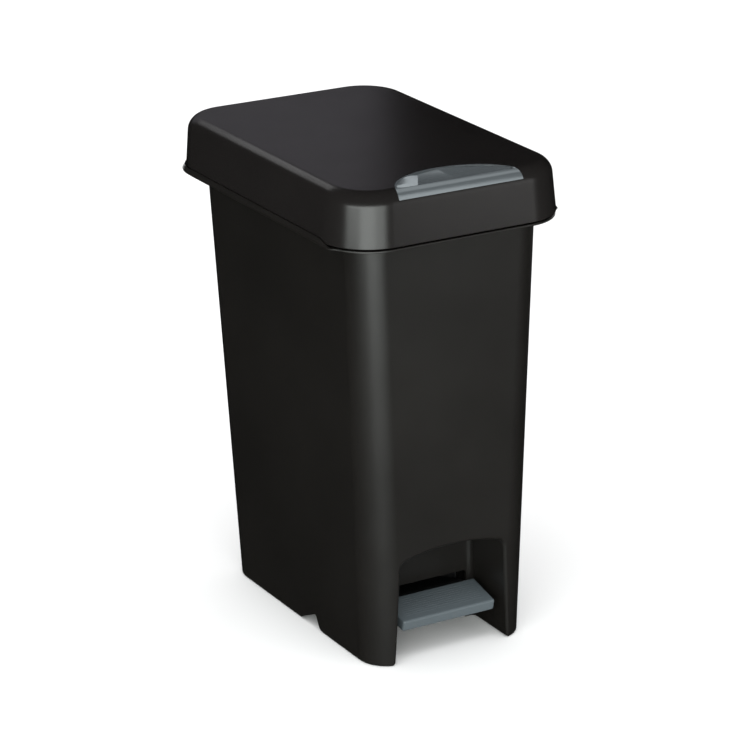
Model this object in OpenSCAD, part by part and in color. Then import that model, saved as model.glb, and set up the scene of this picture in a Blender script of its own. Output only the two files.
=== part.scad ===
// Slim kitchen pedal bin: tapered shell, hinged lid, toe pedal, lift rod and lift-out bucket.
// Millimetres. +Z is up, the pedal faces -Y, the lid hinge is at +Y.
// The origin is on the floor, in the middle of the whole bin's box.

/* [Overall] */
// Height from the floor to the top of the lid
total_h = 400; // [396:0.5:406]
// Wall thickness of the shell and the lid
wall = 2.4; // [2:0.1:3]

/* [Shell] */
// Height of the shell's top edge, hidden inside the lid
shell_h = 372; // [370:0.5:374]
// Half of the shell's width at the floor
shell_foot_half_w = 73; // [72:0.5:75]
// Half of the shell's width at its top edge
shell_top_half_w = 86.1; // [85:0.1:88]
// Front face at the floor
shell_foot_front = -137.2; // [-138:0.1:-136]
// Front face at the top edge
shell_top_front = -133.7; // [-135:0.1:-133]
// Back face at the floor
shell_foot_back = 104.3; // [103:0.1:106]
// Back face at the top edge
shell_top_back = 131.7; // [131:0.1:132]
// Radius of the shell's upright corners
shell_corner_r = 25.4; // [22:0.1:30]

/* [Rim] */
// Underside of the rim flange
rim_z = 353.8; // [353.4:0.1:353.9]
// Thickness of the rim flange
rim_t = 2; // [1.8:0.1:2]
// Height of the bead that stands round the lid at its sides, from the flange's underside
bead_h = 6.7; // [5.5:0.1:7]

/* [Toe recess] */
// Half of the recess width at the floor
recess_half_w = 52.4; // [50:0.1:54]
// Height of the crown of the recess arch
recess_crown_z = 94.1; // [90:0.1:96]
// Radius of the recess arch
recess_arch_r = 170; // [150:1:200]
// Front face of the recess's back wall
recess_back = -84.1; // [-86:0.1:-83]
// Thickness of the recess walls
recess_wall = 2.2; // [2:0.1:2.4]

/* [Lid] */
// Bottom edge of the lid's skirt
lid_bottom_z = 357.2; // [356.8:0.1:358]
// Half of the skirt's width at its bottom edge
lid_foot_half_w = 103.8; // [103:0.1:104]
// Front of the skirt at its bottom edge
lid_foot_front = -148.9; // [-149.5:0.1:-148.5]
// Back of the skirt
lid_back = 145.9; // [145.5:0.1:146.2]
// Radius of the lid's upright corners
lid_corner_r = 41.7; // [38:0.1:44]
// Radius of the rounded edge round the lid's top
lid_edge_r = 11.3; // [8:0.1:13]
// Angle that the pedal opens the lid to
lid_open_deg = 75; // [60:1:75]

/* [Lid handle] */
// Half of the width of the D-shaped handle insert
handle_half_w = 56; // [50:0.5:58]
// Depth of the handle insert from the lid's front edge
handle_depth = 40.5; // [36:0.5:44]

/* [Hinge and lift] */
// Hinge axis, distance behind the origin
hinge_y = 138.5; // [138.3:0.1:138.7]
// Hinge axis, height
hinge_z = 362.5; // [362.3:0.1:362.7]
// Distance from the hinge axis to the lift pin
crank_r = 24; // [23.5:0.1:24]
// Radius of the hinge pins
hinge_pin_r = 2; // [1.8:0.1:2.2]
// Radius of the lift pin
lift_pin_r = 2.5; // [2.2:0.1:2.5]
// Radius of the steel lift rod
rod_r = 2.5; // [2.2:0.1:2.6]

/* [Pedal] */
// Lever axle, distance in front of the origin
axle_y = -40; // [-41:0.5:-39]
// Lever axle, height
axle_z = 20; // [19.5:0.1:20.5]
// Radius of the lever axle
axle_r = 3; // [2.8:0.1:3.2]
// Half of the tread's width
tread_half_w = 43.5; // [42:0.5:44]
// Depth of the tread along its slope
tread_depth = 33.8; // [31:0.1:34]
// Thickness of the tread
tread_t = 9.4; // [8.8:0.1:9.6]
// Slope of the tread, down to the front
tread_slope = 12.4; // [10:0.1:13]

/* [Bucket] */
// Height of the bucket's floor
bucket_floor_z = 70; // [68:1:74]
// Thickness of the bucket's walls
bucket_wall = 2; // [1.8:0.1:2.2]

/* [Hidden] */

// Fineness of plain round parts, of corners that are blended, and of pins
$fn = 48;
thin = 0.01;
through = 400;
fit = 0.02;
running = 0.06;

// Shell: every horizontal section is a rounded rectangle, straight from floor to top edge
function mix(a, b, t) = a + (b - a) * t;
function shell_half_w(z) = mix(shell_foot_half_w, shell_top_half_w, z / shell_h);
function shell_front(z) = mix(shell_foot_front, shell_top_front, z / shell_h);
function shell_back(z) = mix(shell_foot_back, shell_top_back, z / shell_h);
function shell_back_inside(z) = shell_back(z) - wall;

// Rim outlines
flange_inset = 0.6;
bead_gap = 0.5;
bead_edge = 0.4;
bead_reach = 3;
bead_front_end = -124.5;
bead_back_end = 88;
bead_taper = 6;
rim_top = rim_z + rim_t;
// The bead's outline as pairs of height and growth from the lid's foot
bead_profile = [[rim_z + 0.3, -1.2], [rim_top + 0.3, bead_reach - 0.6], [rim_top + 1.1, bead_reach],
    [rim_z + bead_h - thin, bead_gap + bead_edge]];

// Recess: cheeks lean in towards the top, the corners of the arch and of the plan are round
recess_cheek_lean = 0.048;
recess_corner_r = 7;
recess_plan_r = 5;
recess_front_start = -135.8;
lever_slot_half_w = 45.5;
lever_slot_h = 42.5;

// Notches in the shell's side edges, as height over distance along Y
notch_outline = [[-13, -1], [-15.3, 0], [-42.1, 13.5], [-48.3, 1.8], [-57, 0], [-58, -1]];

// Axle saddles and the clips that close them
saddle_in_x = 60;
saddle_half_y = 8;
saddle_bottom = 13.8;
saddle_top = 30;
saddle_gap = 0.15;

// Hinge lugs, ears and pins
lug_r = 4.2;
lug_in_x = 41;
lug_t = 3;
ear_in_x = 44.4;
ear_out_x = 55.6;
lug_out_x = 56;
hinge_relief_half_w = 80;
hinge_relief_z = 366;
hinge_relief_y = 141;
ear_top = [[142.7, 394.2], [140.5, 396.4], [138, 397.9], [134.3, 398.7]];

// Lid: the skirt leans in a little, and the rounded edge is a stack of rising sections
lid_top_half_w = lid_foot_half_w - 4.3;
lid_top_front = lid_foot_front + 4.2;
lid_top_r = lid_corner_r - 2.9;
lid_edge_steps = 5;
function lid_lean(z) = (z - lid_bottom_z) / (total_h - lid_bottom_z);
function lid_half_w(z) = mix(lid_foot_half_w, lid_top_half_w, lid_lean(z));
function lid_front(z) = mix(lid_foot_front, lid_top_front, lid_lean(z));
function lid_r(z) = mix(lid_corner_r, lid_top_r, lid_lean(z));

// Lid handle
handle_bottom = 392.6;
handle_gap = 0.3;
handle_skin = 3;
scoop_outline = [[-107.5, 400.1], [-129.5, 397], [-133.5, 400.1], [-133.5, 401], [-107.5, 401]];

// The lift rod runs up the back wall at the wall's own slope
rod_lean = atan2(shell_top_back - shell_foot_back, shell_h);
rod_stand_off = 7;
rod_foot_y = shell_back_inside(0) - rod_stand_off;

// The lift pin starts and ends half the opening angle below and above the line square to the rod
crank_start = lid_open_deg / 2 - rod_lean;
lift_pin_y = hinge_y - crank_r * cos(crank_start);
lift_pin_z = hinge_z - crank_r * sin(crank_start);
// Lift pin in the rod's own directions: across the rod and along it
pin_across = (lift_pin_y - rod_foot_y) * cos(rod_lean) - lift_pin_z * sin(rod_lean);
pin_along = (lift_pin_y - rod_foot_y) * sin(rod_lean) + lift_pin_z * cos(rod_lean);
pin_drift = crank_r * (1 - cos(lid_open_deg / 2));

// Rod head: a plate with a slot across the rod
head_half_t = 3;
slot_play = 0.8;
slot_end_play = 0.4;
head_margin = 2.6;
head_neck_r = 4.5;
head_neck_bottom = pin_along - 22;
head_neck_top = pin_along - 6.6;

// Rod foot: a ball end that rests on the lever's tail
foot_r = 4;
foot_centre = 22.06;
foot_top = 38;
foot_gap = 0.35;

// Rod guides and their screws
guide_heights = [300, 110];
guide_half_w = 16;
guide_half_h = 7;
guide_back_gap = 2.3;
guide_front = 4.5;
guide_screw_x = 11;
guide_bore_play = 0.1;
boss_r = 3.5;
screw_r = 1.4;
screw_head_r = 2.7;
screw_head_t = 1.6;
screw_fit = 0.05;
screw_free = 0.2;

// Lift arm under the lid
arm_eye_r = 5;
arm_ear_in = 3.5;
arm_ear_out = 6.5;
arm_plate_bottom = 390;
arm_plate_t = 2.4;
arm_plate_half_w = 14;
arm_plate_front = 108;
arm_plate_back = 129;
arm_screw_x = 10;

// Lever: side profile from the tread to the tail, and plan outline
lever_plate_half_w = 38;
tread_centre_y = -116.1;
tread_centre_z = 38.25;
tread_pocket = 3.4;
tread_corner_r = 2;
plate_top = -3.7;
plate_bottom = -7.4;
tail_top = foot_centre * cos(rod_lean) - foot_r - foot_gap;
tail_t = 4;
tail_end = 101.5;
tail_flat = 84;
barrel_r = 7.5;
barrel_half_l = 57.5;
bush_l = 14;
bush_r = 5;
bush_flange_t = 1.5;
lever_top = [[-99, 38.4], [-90, 37.6], [-48, 25.5], [-32, 24.5], [tail_flat, tail_top],
    [tail_end, tail_top]];
lever_bottom = [[tail_end, tail_top - tail_t], [tail_flat, tail_top - tail_t], [-32, 19], [-48, 20.5],
    [-90, 33.4], [-99, 34.9]];
rib_bottom = [[tail_end - 4, 9.5], [-32, 12.5], [-48, 13.5], [-88, 28], [-92, 34]];
lever_plan = [[-101, lever_plate_half_w], [-60, lever_plate_half_w], [-10, 22], [tail_end, 17]];
rib_x = [15, 30];
cup_lip_in = 10;
cup_lip_out = 13;
cup_lip_h = 6;
tread_screw_x = 26;

// Bucket
bucket_step_z = 99.5;
bucket_step_front = -78.8;
bucket_step_in = 1.5;
bucket_rim_z = shell_h + 0.3;
bucket_rim_t = 2;
bucket_rim_back = 107;
bucket_corner_r = 20;
bucket_foot_half_w = 69.8;
bucket_top_half_w = 81.2;
bucket_foot_front = -126.6;
bucket_top_front = -128.7;
bucket_foot_back = 88;
bucket_top_back = 104.5;
tab_half_l = 22;
tab_reach = 5.5;
tab_y = -12;
function bucket_rise(z) = (z - bucket_floor_z) / (bucket_rim_z - bucket_floor_z);
function bucket_half_w(z) = mix(bucket_foot_half_w, bucket_top_half_w, bucket_rise(z));
function bucket_front(z) = mix(bucket_foot_front, bucket_top_front, bucket_rise(z));
function bucket_back(z) = mix(bucket_foot_back, bucket_top_back, bucket_rise(z));

// A rectangle with round corners, given by its half width and its front and back
module rounded_plan(half_w, front, back, r) {
    translate([-half_w + r, front]) square([2 * (half_w - r), back - front]);
    translate([-half_w, front + r]) square([2 * half_w, back - front - 2 * r]);
    for (x = [-half_w + r, half_w - r])
        for (y = [front + r, back - r])
            translate([x, y]) circle(r);
}

// A thin slice of rounded plan at a height, to be blended with others
module slice(z, half_w, front, back, r) {
    translate([0, 0, z]) linear_extrude(thin) rounded_plan(half_w, front, back, r);
}

// Extrudes an outline drawn as [y, z] over a stretch of x
module along_x(x_from, x_to) {
    translate([x_from, 0, 0]) rotate([90, 0, 90]) linear_extrude(x_to - x_from) children();
}

// A cylinder along X
module rod_x(y, z, r, x_from, x_to) {
    translate([x_from, y, z]) rotate([0, 90, 0]) cylinder(r = r, h = x_to - x_from);
}

// A cylinder along Y
module rod_y(x, z, r, y_from, y_to) {
    translate([x, y_to, z]) rotate([90, 0, 0]) cylinder(r = r, h = y_to - y_from);
}

// A box given by its low and high corners
module block(low, high) {
    translate(low) cube(high - low);
}

// Puts its children in the lift rod's frame: z along the rod, y across it
module on_rod() {
    translate([0, rod_foot_y, 0]) rotate([-rod_lean, 0, 0]) children();
}

// Puts its children in the tread's frame: z square to the tread, origin in the middle of its top
module on_tread() {
    translate([0, tread_centre_y, tread_centre_z]) rotate([tread_slope, 0, 0]) children();
}

module shell_body(inset, z_low, z_high) {
    hull() {
        for (z = [z_low, z_high - thin])
            slice(z, shell_half_w(z) - inset, shell_front(z) + inset, shell_back(z) - inset,
                shell_corner_r - inset);
    }
}

module rim_plan(grow) {
    rounded_plan(lid_foot_half_w + grow, lid_foot_front - grow, lid_back + grow, lid_corner_r + grow);
}

// Flange round the shell, wider at the back, and a sloped bead at the sides and the back corners
module rim() {
    translate([0, 0, rim_z]) linear_extrude(rim_t) {
        rim_plan(-flange_inset);
        intersection() {
            rim_plan(bead_reach);
            translate([-bead_back_end, lid_back - 2 * wall]) square([2 * bead_back_end, 4 * wall]);
        }
    }
    difference() {
        hull()
            for (p = bead_profile)
                translate([0, 0, p[0]]) linear_extrude(thin) rim_plan(p[1]);
        translate([0, 0, rim_top]) linear_extrude(bead_h) rim_plan(bead_gap);
        along_x(-through, through) polygon([[-through, 0], [bead_front_end, 0], [bead_front_end, rim_z],
            [bead_front_end + bead_taper, rim_z + bead_h + 1], [-through, rim_z + bead_h + 1]]);
        block([-bead_back_end, 0, 0], [bead_back_end, through, through]);
    }
}

// Front view of the recess, grown by a wall thickness: cheeks, round corners and a flat arch
module recess_front_view(grow, bottom) {
    r = recess_corner_r + grow;
    shoulder_x = recess_half_w - recess_cheek_lean * recess_crown_z - recess_corner_r;
    shoulder_z = recess_crown_z - recess_arch_r - recess_corner_r
        + sqrt(pow(recess_arch_r, 2) - pow(shoulder_x, 2));
    foot_x = recess_half_w + grow;
    half = [
        [foot_x, bottom],
        for (a = [0:15:75]) [shoulder_x + r * cos(a), shoulder_z + r * sin(a)]
    ];
    arch = [
        for (x = [shoulder_x:-shoulder_x / 8:-shoulder_x - 0.1])
            [x, recess_crown_z + grow - recess_arch_r + sqrt(pow(recess_arch_r, 2) - pow(x, 2))]
    ];
    other_half = [for (i = [len(half) - 1:-1:0]) [-half[i][0], half[i][1]]];
    polygon(concat(half, arch, other_half));
}

module recess_block(grow, front, bottom) {
    intersection() {
        translate([0, recess_back + grow, 0]) rotate([90, 0, 0])
            linear_extrude(recess_back + grow - front) recess_front_view(grow, bottom);
        translate([0, 0, bottom]) linear_extrude(recess_crown_z + grow + 2)
            rounded_plan(recess_half_w + grow, front - 50, recess_back + grow, recess_plan_r + grow);
    }
}

// Moulded saddles that hang over the lever axle, open downwards
module axle_saddle_blocks() {
    for (side = [-1, 1])
        mirror([side < 0 ? 1 : 0, 0, 0])
            block([saddle_in_x, axle_y - saddle_half_y, saddle_bottom],
                [shell_half_w(saddle_bottom) - wall / 2, axle_y + saddle_half_y, saddle_top]);
}

module axle_saddle_slots() {
    rod_x(axle_y, axle_z, axle_r + fit, -shell_foot_half_w + wall / 2, shell_foot_half_w - wall / 2);
    for (side = [0, 1])
        mirror([side, 0, 0])
            block([saddle_in_x - 1, axle_y - axle_r - fit, saddle_bottom - 1],
                [shell_foot_half_w - wall / 2, axle_y + axle_r + fit, axle_z]);
}

module hinge_lug(x_from) {
    rod_x(hinge_y, hinge_z, lug_r, x_from, x_from + lug_t);
    block([x_from, hinge_y - lug_r, rim_top - thin], [x_from + lug_t, hinge_y + lug_r, hinge_z]);
}

module outer_shell() {
    color([0.085, 0.083, 0.08])
    difference() {
        union() {
            difference() {
                union() {
                    shell_body(0, 0, shell_h);
                    rim();
                }
                shell_body(wall, -1, shell_h + 1);
            }
            recess_block(recess_wall, recess_front_start, 0);
            axle_saddle_blocks();
            for (side = [0, 1])
                mirror([side, 0, 0]) {
                    hinge_lug(lug_in_x);
                    hinge_lug(lug_out_x);
                    for (z = guide_heights)
                        rod_y(guide_screw_x, z, boss_r, shell_back_inside(z) - guide_back_gap + 0.3,
                            shell_back(z) - wall / 2);
                }
        }
        recess_block(0, shell_foot_front - 5, -1);
        block([-lever_slot_half_w, recess_back - 1, -1],
            [lever_slot_half_w, recess_back + recess_wall + 1, lever_slot_h]);
        along_x(-through, through) polygon(notch_outline);
        axle_saddle_slots();
        rod_x(hinge_y, hinge_z, hinge_pin_r + fit, -lug_out_x - lug_t - 1, lug_out_x + lug_t + 1);
        for (x = [-guide_screw_x, guide_screw_x])
            for (z = guide_heights)
                rod_y(x, z, screw_r + screw_fit, shell_back_inside(z) - guide_back_gap - 1,
                    shell_back_inside(z) + 0.9);
    }
}

module rod_guide(z) {
    guide_y = rod_foot_y + z * tan(rod_lean);
    back = shell_back_inside(z) - guide_back_gap;
    difference() {
        block([-guide_half_w, guide_y - guide_front, z - guide_half_h],
            [guide_half_w, back, z + guide_half_h]);
        on_rod() translate([0, 0, z - 20]) cylinder(r = rod_r + guide_bore_play, h = 40);
        for (x = [-guide_screw_x, guide_screw_x])
            rod_y(x, z, screw_r + screw_free, guide_y - guide_front - 1, back + 1);
    }
}

module rod_guide_upper() {
    color([0.2, 0.2, 0.21]) rod_guide(guide_heights[0]);
}

module rod_guide_lower() {
    color([0.2, 0.2, 0.21]) rod_guide(guide_heights[1]);
}

module rod_guide_screws() {
    color("silver")
    for (x = [-guide_screw_x, guide_screw_x])
        for (z = guide_heights) {
            head_y = rod_foot_y + z * tan(rod_lean) - guide_front;
            rod_y(x, z, screw_r, head_y - thin, shell_back_inside(z) + 0.6);
            rod_y(x, z, screw_head_r, head_y - screw_head_t, head_y);
        }
}

// Plug that closes the saddle's slot under the axle
module axle_clip() {
    block([saddle_in_x, axle_y - axle_r + saddle_gap, saddle_bottom],
        [shell_foot_half_w - wall - 1, axle_y + axle_r - saddle_gap, axle_z - axle_r - saddle_gap]);
}

module axle_clip_right() {
    color([0.2, 0.2, 0.21]) axle_clip();
}

module axle_clip_left() {
    color([0.2, 0.2, 0.21]) mirror([1, 0, 0]) axle_clip();
}

module lever_axle() {
    half_l = shell_foot_half_w - wall - 0.8;
    color("silver") rod_x(axle_y, axle_z, axle_r, -half_l, half_l);
}

module hinge_pin() {
    rod_x(hinge_y, hinge_z, hinge_pin_r, lug_in_x - 0.5, lug_out_x + lug_t + 0.5);
}

module hinge_pin_right() {
    color("silver") hinge_pin();
}

module hinge_pin_left() {
    color("silver") mirror([1, 0, 0]) hinge_pin();
}

// Closed form of the lid, with its skirt and rounded top edge, shrunk by an inset
module lid_form(inset, z_low) {
    edge_z = total_h - lid_edge_r;
    hull() {
        slice(z_low, lid_half_w(z_low) - inset, lid_front(z_low) + inset, lid_back - inset,
            lid_r(z_low) - inset);
        for (i = [0:lid_edge_steps]) {
            angle = 90 * i / lid_edge_steps;
            r = lid_edge_r - inset;
            z = edge_z + r * sin(angle) - (i == lid_edge_steps ? thin : 0);
            pull = inset + r * (1 - cos(angle));
            slice(z, lid_half_w(z) - pull, lid_front(z) + pull, lid_back - pull, lid_r(z) - pull);
        }
    }
}

// Half ellipse at the lid's front edge, grown by a gap
module handle_plan(grow) {
    reach = 12;
    polygon(concat(
        [for (a = [0:6:180]) [(handle_half_w + grow) * cos(a),
            lid_front(total_h) - 1.4 + (handle_depth + grow) * sin(a)]],
        [[-handle_half_w - grow, lid_foot_front - reach], [handle_half_w + grow, lid_foot_front - reach]]));
}

module lid_ear() {
    rod_x(hinge_y, hinge_z, lug_r, ear_in_x, ear_out_x);
    along_x(ear_in_x, ear_out_x)
        polygon(concat([[hinge_y - lug_r, hinge_z], [hinge_y + lug_r, hinge_z]], ear_top));
}

module lid_shell() {
    color([0.085, 0.083, 0.08])
    difference() {
        union() {
            difference() {
                lid_form(0, lid_bottom_z);
                lid_form(wall, lid_bottom_z - 1);
                block([-hinge_relief_half_w, hinge_relief_y, lid_bottom_z - 1],
                    [hinge_relief_half_w, through, hinge_relief_z]);
            }
            for (side = [0, 1])
                mirror([side, 0, 0]) lid_ear();
            for (x = [-arm_screw_x, arm_screw_x])
                translate([x, lift_pin_y, arm_plate_bottom + arm_plate_t + 0.2])
                    cylinder(r = boss_r, h = total_h - wall / 2 - arm_plate_bottom - arm_plate_t - 0.2);
        }
        translate([0, 0, handle_bottom - handle_gap]) linear_extrude(20) handle_plan(handle_gap);
        rod_x(hinge_y, hinge_z, hinge_pin_r + running, -ear_out_x - 1, ear_out_x + 1);
        for (x = [-arm_screw_x, arm_screw_x])
            translate([x, lift_pin_y, arm_plate_bottom]) cylinder(r = screw_r + screw_fit, h = 7.6);
    }
}

module lid_handle() {
    color([0.44, 0.49, 0.53])
    difference() {
        intersection() {
            lid_form(0, lid_bottom_z);
            translate([0, 0, handle_bottom]) linear_extrude(20) handle_plan(0);
        }
        intersection() {
            along_x(-through, through) polygon(scoop_outline);
            translate([0, 0, handle_bottom]) linear_extrude(20) handle_plan(-4);
        }
        intersection() {
            translate([0, 0, handle_bottom - 1])
                linear_extrude(total_h - handle_bottom - handle_skin - 2) handle_plan(-wall);
            block([-through, lid_foot_front + 3 * wall, 0], [through, through, total_h]);
        }
    }
}

module lift_arm() {
    color([0.2, 0.2, 0.21])
    difference() {
        union() {
            block([-arm_plate_half_w, arm_plate_front, arm_plate_bottom],
                [arm_plate_half_w, arm_plate_back, arm_plate_bottom + arm_plate_t]);
            for (side = [0, 1])
                mirror([side, 0, 0]) {
                    rod_x(lift_pin_y, lift_pin_z, arm_eye_r, arm_ear_in, arm_ear_out);
                    block([arm_ear_in, lift_pin_y - arm_eye_r, lift_pin_z],
                        [arm_ear_out, lift_pin_y + arm_eye_r, arm_plate_bottom + thin]);
                }
        }
        rod_x(lift_pin_y, lift_pin_z, lift_pin_r + fit, -arm_ear_out - 1, arm_ear_out + 1);
        for (x = [-arm_screw_x, arm_screw_x])
            translate([x, lift_pin_y, arm_plate_bottom - 1]) cylinder(r = screw_r + screw_free, h = 5);
    }
}

module lift_arm_screws() {
    color("silver")
    for (x = [-arm_screw_x, arm_screw_x])
        translate([x, lift_pin_y, arm_plate_bottom]) {
            translate([0, 0, -screw_head_t / 2]) cylinder(r = screw_r, h = 7 + screw_head_t / 2);
            translate([0, 0, -screw_head_t]) cylinder(r = screw_head_r, h = screw_head_t);
        }
}

module lift_pin() {
    color("silver") rod_x(lift_pin_y, lift_pin_z, lift_pin_r, -arm_ear_out - 0.5, arm_ear_out + 0.5);
}

module lever_rib(x) {
    intersection() {
        along_x(x - 1.2, x + 1.2) polygon(concat(lever_top, rib_bottom));
        block([-through, -92, 0], [through, tail_end, through]);
    }
}

module pedal_lever() {
    color([0.13, 0.13, 0.135])
    difference() {
        union() {
            on_tread()
                block([-lever_plate_half_w, -13.2, plate_bottom], [lever_plate_half_w, 18, plate_top]);
            intersection() {
                along_x(-through, through) polygon(concat(lever_top, lever_bottom));
                linear_extrude(through) polygon(concat(
                    [for (p = lever_plan) [p[1], p[0]]],
                    [for (i = [len(lever_plan) - 1:-1:0]) [-lever_plan[i][1], lever_plan[i][0]]]));
            }
            for (side = [-1, 1]) {
                lever_rib(side * rib_x[0]);
                intersection() {
                    lever_rib(side * rib_x[1]);
                    block([-through, -92, 0], [through, axle_y, through]);
                }
                mirror([side < 0 ? 1 : 0, 0, 0])
                    block([cup_lip_in, tail_flat, tail_top - 1],
                        [cup_lip_out, tail_end, tail_top + cup_lip_h]);
            }
            rod_x(axle_y, axle_z, barrel_r, -barrel_half_l, barrel_half_l);
        }
        rod_x(axle_y, axle_z, axle_r + 0.6, -barrel_half_l - 1, barrel_half_l + 1);
        for (side = [0, 1])
            mirror([side, 0, 0])
                rod_x(axle_y, axle_z, bush_r + fit, barrel_half_l - bush_l, barrel_half_l + 1);
        on_tread()
            for (x = [-tread_screw_x, tread_screw_x])
                translate([x, 2, plate_bottom - 1]) cylinder(r = screw_r + screw_free, h = 6);
    }
}

module pedal_tread() {
    color([0.3, 0.345, 0.375])
    on_tread() difference() {
        translate([0, 0, -tread_t]) linear_extrude(tread_t)
            rounded_plan(tread_half_w, -tread_depth / 2, tread_depth / 2, tread_corner_r);
        block([-lever_plate_half_w - 0.4, -13.5, -tread_t - 1],
            [lever_plate_half_w + 0.4, 20, -tread_pocket]);
        for (x = [-tread_screw_x, tread_screw_x])
            translate([x, 2, -tread_t]) cylinder(r = screw_r + screw_fit, h = tread_t - 1.3);
    }
}

module tread_screws() {
    color("silver")
    on_tread()
        for (x = [-tread_screw_x, tread_screw_x])
            translate([x, 2, plate_bottom]) {
                translate([0, 0, -screw_head_t / 2]) cylinder(r = screw_r, h = 5.8 + screw_head_t / 2);
                translate([0, 0, -screw_head_t]) cylinder(r = screw_head_r, h = screw_head_t);
            }
}

module lever_bush() {
    difference() {
        union() {
            rod_x(axle_y, axle_z, bush_r, barrel_half_l - bush_l + 0.2, barrel_half_l + 0.1);
            rod_x(axle_y, axle_z, barrel_r, barrel_half_l + 0.1, barrel_half_l + bush_flange_t);
        }
        rod_x(axle_y, axle_z, axle_r + running, 0, barrel_half_l + 10);
    }
}

module lever_bush_right() {
    color([0.85, 0.85, 0.82]) lever_bush();
}

module lever_bush_left() {
    color([0.85, 0.85, 0.82]) mirror([1, 0, 0]) lever_bush();
}

module lift_rod() {
    color("silver")
    on_rod() translate([0, 0, foot_centre + 6])
        cylinder(r = rod_r, h = head_neck_top - 2 - foot_centre - 6);
}

module rod_head() {
    slot_r = lift_pin_r + slot_play;
    slot_from = pin_across - pin_drift - slot_end_play;
    slot_to = pin_across + slot_end_play;
    color([0.85, 0.85, 0.82])
    on_rod() difference() {
        union() {
            block([-head_half_t, slot_from - slot_r - head_margin, pin_along - slot_r - head_margin - 4],
                [head_half_t, slot_to + slot_r + head_margin, pin_along + slot_r + head_margin]);
            translate([0, 0, head_neck_bottom])
                cylinder(r = head_neck_r, h = head_neck_top - head_neck_bottom);
        }
        for (y = [slot_from, slot_to])
            rod_x(y, pin_along, slot_r, -10, 10);
        block([-10, slot_from, pin_along - slot_r], [10, slot_to, pin_along + slot_r]);
        translate([0, 0, head_neck_bottom - 1])
            cylinder(r = rod_r + fit, h = head_neck_top - head_neck_bottom - 1 + 0.2);
    }
}

module rod_foot() {
    color([0.85, 0.85, 0.82])
    on_rod() difference() {
        union() {
            translate([0, 0, foot_centre]) sphere(foot_r);
            translate([0, 0, foot_centre]) cylinder(r = foot_r, h = foot_top - foot_centre);
        }
        translate([0, 0, foot_centre + 5.8]) cylinder(r = rod_r + fit, h = foot_top);
    }
}

// Upper part of the bucket, over the toe recess and the whole shell
module bucket_body(inset, z_low, z_high) {
    hull()
        for (z = [z_low, z_high - thin])
            slice(z, bucket_half_w(z) - inset, bucket_front(z) + inset, bucket_back(z) - inset,
                bucket_corner_r - inset);
}

// Lower part of the bucket, behind the toe recess
module bucket_well(inset, z_low, z_high) {
    hull()
        for (z = [z_low, z_high - thin])
            slice(z, bucket_half_w(z) - bucket_step_in - inset, bucket_step_front + inset,
                bucket_back(z) - bucket_step_in - inset, bucket_corner_r - inset);
}

module inner_bucket() {
    step = bucket_step_z;
    top = bucket_rim_z + bucket_rim_t;
    color([0.16, 0.165, 0.17])
    difference() {
        union() {
            bucket_well(0, bucket_floor_z, step + bucket_wall / 2);
            bucket_body(0, step, top);
            translate([0, 0, bucket_rim_z]) linear_extrude(bucket_rim_t) {
                rounded_plan(shell_top_half_w - 0.1, shell_top_front + 0.1, bucket_rim_back,
                    shell_corner_r);
                translate([-shell_top_half_w - tab_reach, tab_y - tab_half_l])
                    square([2 * (shell_top_half_w + tab_reach), 2 * tab_half_l]);
            }
        }
        bucket_well(bucket_wall, bucket_floor_z + bucket_wall, step + 2 * bucket_wall);
        bucket_body(bucket_wall, step + bucket_wall, top + 1);
    }
}

outer_shell();
rod_guide_upper();
rod_guide_lower();
rod_guide_screws();
axle_clip_left();
axle_clip_right();
lever_axle();
hinge_pin_left();
hinge_pin_right();
lid_shell();
lid_handle();
lift_arm();
lift_arm_screws();
lift_pin();
pedal_lever();
pedal_tread();
tread_screws();
lever_bush_left();
lever_bush_right();
lift_rod();
rod_head();
rod_foot();
inner_bucket();
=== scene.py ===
"""Slim kitchen pedal bin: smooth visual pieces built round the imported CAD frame.

Shapes are drawn in millimetres in the CAD's own frame, with +Z up and the pedal towards -Y, and
solid() turns them into metres. Lights and the camera are placed in metres.
"""

import math

import bmesh
import bpy
from mathutils import Matrix, Vector


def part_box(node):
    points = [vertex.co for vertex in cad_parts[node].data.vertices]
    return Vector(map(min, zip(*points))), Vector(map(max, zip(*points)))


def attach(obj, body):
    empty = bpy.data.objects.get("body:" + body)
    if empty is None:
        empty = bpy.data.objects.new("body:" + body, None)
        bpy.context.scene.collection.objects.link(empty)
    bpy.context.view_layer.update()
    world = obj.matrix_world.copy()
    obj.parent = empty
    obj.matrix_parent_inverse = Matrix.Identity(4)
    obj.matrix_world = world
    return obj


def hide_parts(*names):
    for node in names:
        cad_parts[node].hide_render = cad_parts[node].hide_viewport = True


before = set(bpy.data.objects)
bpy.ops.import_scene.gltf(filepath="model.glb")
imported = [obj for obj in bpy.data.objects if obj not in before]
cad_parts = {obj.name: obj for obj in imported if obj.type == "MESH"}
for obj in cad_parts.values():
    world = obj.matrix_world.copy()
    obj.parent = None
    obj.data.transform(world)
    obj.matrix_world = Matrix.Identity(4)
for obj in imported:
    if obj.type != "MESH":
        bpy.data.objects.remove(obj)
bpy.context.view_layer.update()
MM = 0.001

# ---------------------------------------------------------------- sizes, in millimetres


def corners(node):
    """Low and high corner of a CAD node's box."""
    low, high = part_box(node)
    return [c / MM for c in low], [c / MM for c in high]


def mix(a, b, t):
    return a + (b - a) * t


def ease(v, low, high):
    """0 up to low, 1 from high on, and a smooth rise between them."""
    t = max(0.0, min(1.0, (v - low) / (high - low)))
    return t * t * (3 - 2 * t)


def span(side, inner, outer):
    """The stretch of x between two distances from the middle. side is -1 or 1."""
    return sorted((side * inner, side * outer))


WALL = 2.4

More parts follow.
